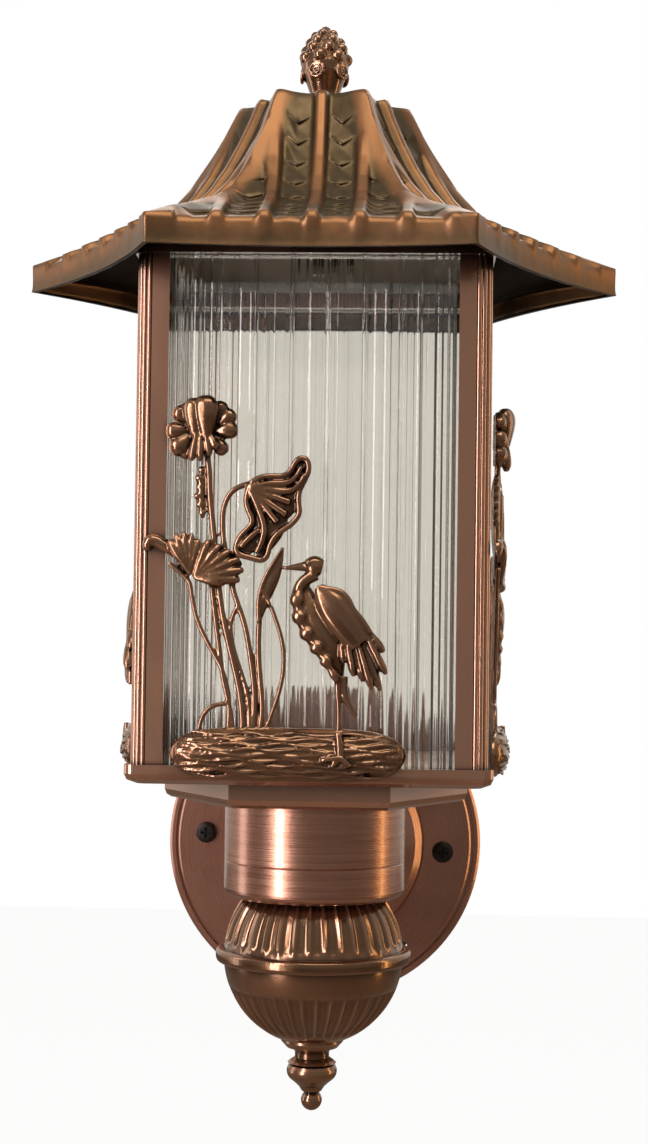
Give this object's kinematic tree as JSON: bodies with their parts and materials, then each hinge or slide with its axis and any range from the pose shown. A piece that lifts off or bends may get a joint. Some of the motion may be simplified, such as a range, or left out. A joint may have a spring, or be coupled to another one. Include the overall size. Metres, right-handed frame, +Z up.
{
  "type": "wall lantern",
  "caption": "Copper wall lantern with a hexagonal tiled roof, ribbed glass body, lotus and crane castings, a fluted globe below and a round wall plate.",
  "frame": {"origin": "middle of the cable entry, on the wall face of the mounting plate", "axes": "+Y into the wall, +Z up, so the lantern hangs out towards -Y and its front faces -Y"},
  "size_m": [0.254, 0.226, 0.4679],
  "materials": {
    "copper": "antique brushed copper",
    "dark_copper": "dark antique copper",
    "roof_copper": "antique copper with dark hollows",
    "steel": "zinc plated",
    "black_screw": "black oxide",
    "black_rubber": "matte",
    "cream_plastic": "moulded",
    "brass": "plain",
    "clear_glass": "clear, ribbed",
    "clear_plastic": "clear, moulded",
    "opal_plastic": "opal",
    "aluminium": "satin",
    "grey_pan": "grey powder coat"
  },
  "bodies": {
    "root": {"wall_gasket": "black_rubber", "mounting_plate": "steel", "wall_canopy": "copper", "canopy_screws": "black_screw", "terminal_block": "cream_plastic", "earth_screw": "brass", "arm": "copper", "arm_pipe": "steel", "pipe_nuts": "steel", "collar": "copper", "globe_upper": "dark_copper", "globe_lower": "dark_copper", "stem_rod": "steel", "stem_nut": "steel", "drop_finial": "dark_copper", "hex_base": "copper", "tray": "copper", "tray_screws": "steel", "post_front_left": "copper", "post_front_right": "copper", "post_rear_left": "copper", "post_rear_right": "copper", "glass_front": "clear_glass", "glass_rear": "clear_glass", "glass_left": "clear_glass", "glass_right": "clear_glass", "header_frame": "dark_copper", "header_screws": "steel", "ceiling_pan": "grey_pan", "pan_screws": "steel", "wire_grommets": "black_rubber", "joint_wires": "black_rubber", "wire_joints": "clear_plastic", "light_bar": "aluminium", "bar_screws": "black_screw", "light_lens": "opal_plastic", "roof_rod": "steel", "rod_nut": "steel", "roof_shell": "roof_copper", "bud_finial": "dark_copper", "relief_front": "dark_copper", "relief_left": "dark_copper", "relief_right": "dark_copper"}
  },
  "joints": []
}
